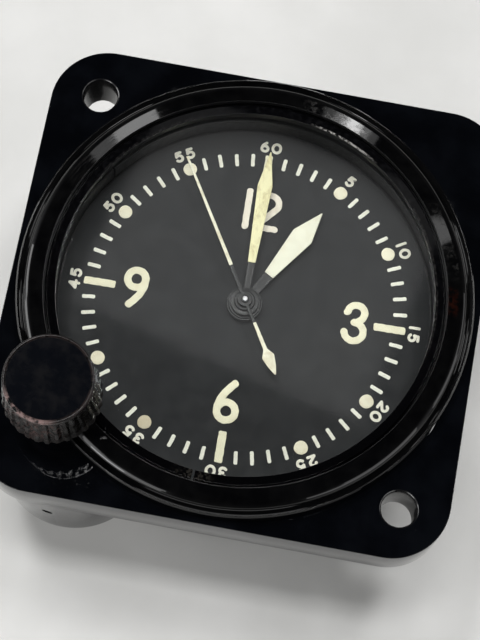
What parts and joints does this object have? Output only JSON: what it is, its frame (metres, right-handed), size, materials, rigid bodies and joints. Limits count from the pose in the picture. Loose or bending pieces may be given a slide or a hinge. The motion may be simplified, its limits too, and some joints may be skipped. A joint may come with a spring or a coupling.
{
  "type": "aircraft clock",
  "caption": "Square-flange panel clock with black dial, luminous hands and numerals, centre seconds and a corner winding and setting knob over a jewelled lever movement.",
  "frame": {"origin": "centre of the two-hole bolt circle on the flange's rear face, which seats on the panel", "axes": "+Z out of the dial towards the viewer, +X towards three o'clock, +Y towards twelve o'clock"},
  "size_m": [0.0598, 0.0598, 0.0473],
  "materials": {
    "case_black": "moulded black, satin",
    "glass": "clear polished",
    "rubber": "matte",
    "ring_black": "black, semi-gloss",
    "dial_black": "matte charcoal black",
    "hand_lume": "aged luminous paint on black",
    "brass": "brushed",
    "brass_wheel": "polished",
    "steel": "polished",
    "blued_steel": "heat-blued",
    "spring_steel": "satin",
    "ruby": "polished jewel",
    "knob_black": "worn matte black"
  },
  "bodies": {
    "case": {"case": "case_black", "rear_cover": "case_black", "rear_gasket": "rubber", "rear_screws": "steel", "stem_cover": "brass", "glass": "glass", "glass_gasket": "rubber", "retaining_ring": "ring_black", "reflector_ring": "ring_black", "dial": "dial_black", "front_plate": "brass", "back_plate": "brass", "plate_pillars": "brass", "plate_screws": "blued_steel", "movement_screws": "steel", "click_spring": "spring_steel", "balance_cock": "brass", "pallet_cock": "brass", "jewels": "ruby", "setting_bridge": "brass", "wheel_studs": "steel", "stem_bushing": "brass", "stem_seal": "rubber", "yoke_post": "steel"},
    "second_hand": {"fourth_wheel": "brass_wheel", "fourth_arbor": "steel", "second_hand": "hand_lume"},
    "minute_hand": {"centre_wheel": "brass_wheel", "centre_arbor": "steel", "cannon_pinion": "steel", "minute_hand": "hand_lume"},
    "hour_hand": {"hour_wheel": "brass_wheel", "hour_hand": "hand_lume"},
    "minute_wheel": {"minute_wheel": "brass_wheel"},
    "setting_wheel": {"setting_wheel": "steel"},
    "third_wheel": {"third_wheel": "brass_wheel", "third_pinion": "steel"},
    "intermediate_wheel": {"intermediate_wheel": "brass_wheel", "intermediate_pinion": "steel"},
    "barrel": {"barrel": "brass_wheel", "barrel_cover": "brass_wheel", "mainspring": "spring_steel"},
    "escape_wheel": {"escape_wheel": "steel", "escape_pinion": "steel"},
    "pallet_lever": {"pallet_lever": "steel", "pallet_stones": "ruby"},
    "balance": {"balance_wheel": "brass_wheel", "balance_staff": "steel", "hairspring": "blued_steel"},
    "barrel_arbor": {"barrel_arbor": "steel", "ratchet_wheel": "steel", "ratchet_screw": "blued_steel"},
    "winding_wheel": {"winding_wheel": "steel"},
    "click": {"click": "steel"},
    "regulator": {"regulator": "steel"},
    "setting_yoke": {"setting_yoke": "steel"},
    "knob": {"knob": "knob_black", "knob_set_screw": "steel", "stem": "steel", "winding_pinion": "steel"}
  },
  "joints": [
    {"name": "second_hand_turn", "type": "hinge", "parent": "case", "child": "second_hand", "pos_m": [0, 0, 0.005], "axis": [0, 0, 1], "continuous": true},
    {"name": "minute_hand_turn", "type": "hinge", "parent": "case", "child": "minute_hand", "pos_m": [0, 0, 0.004], "axis": [0, 0, 1], "continuous": true},
    {"name": "hour_hand_turn", "type": "hinge", "parent": "case", "child": "hour_hand", "pos_m": [0, 0, 0.003], "axis": [0, 0, 1], "continuous": true},
    {"name": "minute_wheel_turn", "type": "hinge", "parent": "case", "child": "minute_wheel", "pos_m": [-0.00717, -0.00063, 0], "axis": [0, 0, 1], "continuous": true},
    {"name": "setting_wheel_turn", "type": "hinge", "parent": "case", "child": "setting_wheel", "pos_m": [-0.01266, -0.0123, 0], "axis": [0, 0, 1], "continuous": true},
    {"name": "third_wheel_turn", "type": "hinge", "parent": "case", "child": "third_wheel", "pos_m": [-0.00141, 0.00798, -0.012], "axis": [0, 0, 1], "continuous": true},
    {"name": "intermediate_wheel_turn", "type": "hinge", "parent": "case", "child": "intermediate_wheel", "pos_m": [0.00283, -0.00816, -0.004], "axis": [0, 0, 1], "continuous": true},
    {"name": "barrel_turn", "type": "hinge", "parent": "case", "child": "barrel", "pos_m": [-0.00891, -0.00891, -0.008], "axis": [0, 0, 1], "continuous": true, "deforming": ["mainspring"]},
    {"name": "escape_wheel_turn", "type": "hinge", "parent": "case", "child": "escape_wheel", "pos_m": [0.00744, 0.00271, -0.016], "axis": [0, 0, 1], "continuous": true},
    {"name": "pallet_swing", "type": "hinge", "parent": "case", "child": "pallet_lever", "pos_m": [0.01012, 0.0059, -0.016], "axis": [0, 0, 1], "range_deg": [-4.5, 4.5]},
    {"name": "balance_swing", "type": "hinge", "parent": "case", "child": "balance", "pos_m": [0.01481, 0.00761, -0.018], "axis": [0, 0, 1], "range_deg": [-140, 140], "stiffness_Nm_per_rad": 0.0000045, "deforming": ["hairspring"]},
    {"name": "knob_turn", "type": "hinge", "parent": "setting_yoke", "child": "knob", "pos_m": [-0.0204, -0.0191, 0.016], "axis": [0, 0, 1], "continuous": true},
    {"name": "knob_pull", "type": "slide", "parent": "case", "child": "setting_yoke", "axis": [0, 0, 1], "range_m": [0, 0.0012]},
    {"name": "winding_wheel_turn", "type": "hinge", "parent": "case", "child": "winding_wheel", "pos_m": [-0.01749, -0.01386, -0.001], "axis": [0, 0, 1], "continuous": true},
    {"name": "ratchet_turn", "type": "hinge", "parent": "case", "child": "barrel_arbor", "pos_m": [-0.00891, -0.00891, -0.001], "axis": [0, 0, 1], "continuous": true},
    {"name": "click_lift", "type": "hinge", "parent": "case", "child": "click", "pos_m": [-0.00045, -0.01199, -0.001], "axis": [0, 0, 1], "range_deg": [-9, 0], "stiffness_Nm_per_rad": 0.0001, "deforming": ["click_spring"]},
    {"name": "regulator_turn", "type": "hinge", "parent": "case", "child": "regulator", "pos_m": [0.01481, 0.00761, -0.0208], "axis": [0, 0, 1], "range_deg": [-12, 12]}
  ],
  "couplings": [
    {"joint": "minute_hand_turn", "follows": "second_hand_turn", "ratio": 0.016667},
    {"joint": "hour_hand_turn", "follows": "second_hand_turn", "ratio": 0.0013889},
    {"joint": "third_wheel_turn", "follows": "second_hand_turn", "ratio": -0.13333},
    {"joint": "intermediate_wheel_turn", "follows": "second_hand_turn", "ratio": -0.0033333},
    {"joint": "barrel_turn", "follows": "second_hand_turn", "ratio": 0.00055556},
    {"joint": "escape_wheel_turn", "follows": "second_hand_turn", "ratio": -10},
    {"joint": "minute_wheel_turn", "follows": "second_hand_turn", "ratio": -0.0055556},
    {"joint": "setting_wheel_turn", "follows": "second_hand_turn", "ratio": 0.004},
    {"joint": "winding_wheel_turn", "follows": "knob_turn", "ratio": -0.53846},
    {"joint": "ratchet_turn", "follows": "knob_turn", "ratio": 0.35}
  ]
}
